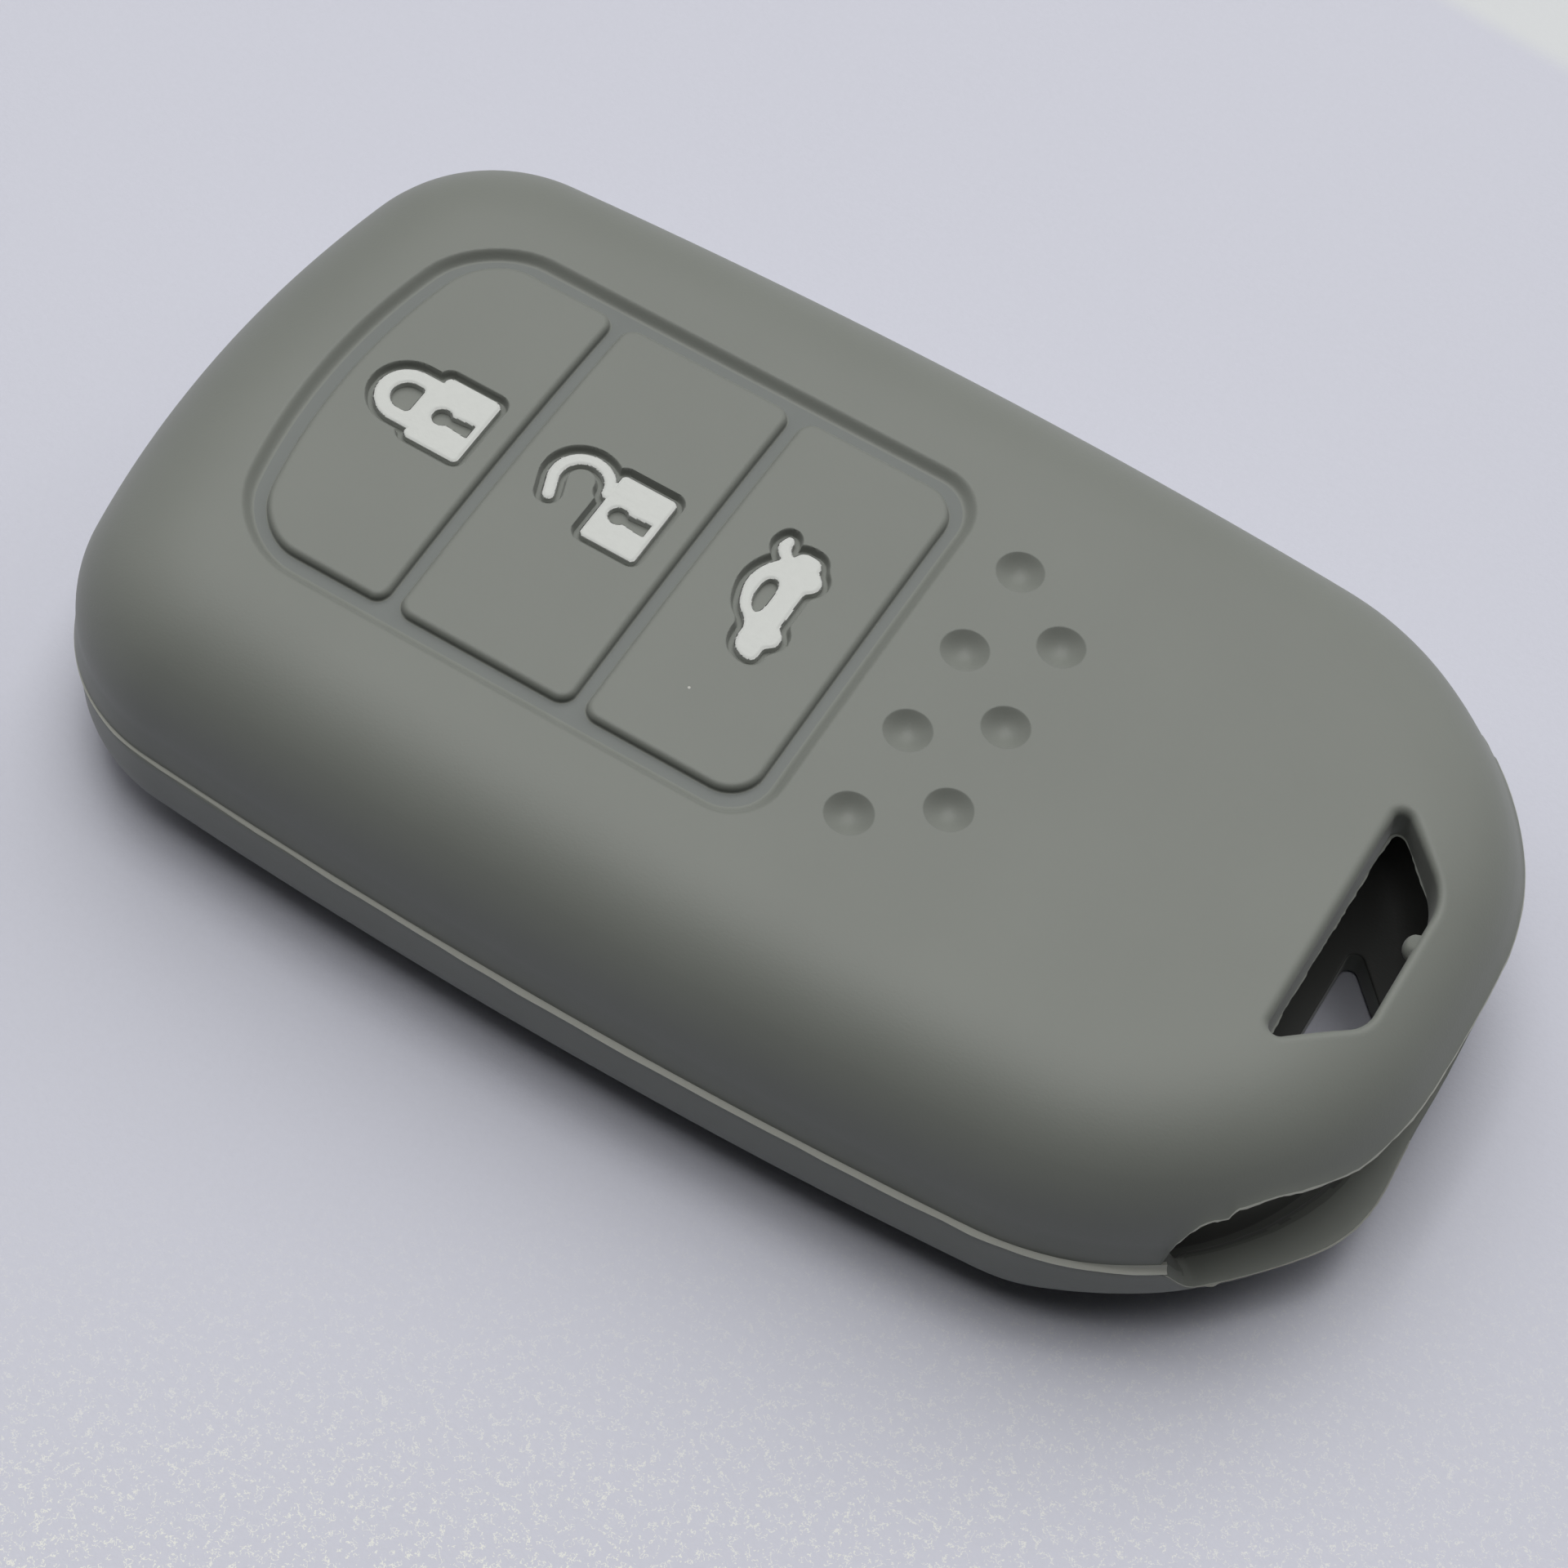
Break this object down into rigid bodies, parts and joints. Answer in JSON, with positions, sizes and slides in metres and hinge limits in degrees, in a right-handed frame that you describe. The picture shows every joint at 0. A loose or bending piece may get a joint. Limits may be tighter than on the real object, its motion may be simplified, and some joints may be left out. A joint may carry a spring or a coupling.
{
  "type": "key fob cover",
  "caption": "Soft silicone sleeve for a car key fob, with an open ring end, a key-ring slot through both faces, sprung button pads with white symbols and grip dimples.",
  "frame": {"origin": "middle of the cover's bounding box at the height of the back face it lies on", "axes": "+X along the cover to the open ring end, +Y across it to the left of that, +Z out of the face with the buttons"},
  "size_m": [0.0756, 0.0442, 0.0157],
  "materials": {
    "silicone": "matte soft-touch silicone, grey-green",
    "white_ink": "satin white silicone fill"
  },
  "bodies": {
    "cover": {"front_half": "silicone", "back_half": "silicone", "button_web": "silicone"},
    "lock": {"lock_button": "silicone", "lock_icon": "white_ink"},
    "unlock": {"unlock_button": "silicone", "unlock_icon": "white_ink"},
    "trunk": {"trunk_button": "silicone", "trunk_icon": "white_ink"}
  },
  "joints": [
    {"name": "lock_press", "type": "slide", "parent": "cover", "child": "lock", "axis": [0, 0, -1], "range_m": [0, 0.0006], "stiffness_N_per_m": 2000},
    {"name": "unlock_press", "type": "slide", "parent": "cover", "child": "unlock", "axis": [0, 0, -1], "range_m": [0, 0.0006], "stiffness_N_per_m": 2000},
    {"name": "trunk_press", "type": "slide", "parent": "cover", "child": "trunk", "axis": [0, 0, -1], "range_m": [0, 0.0006], "stiffness_N_per_m": 2000}
  ]
}
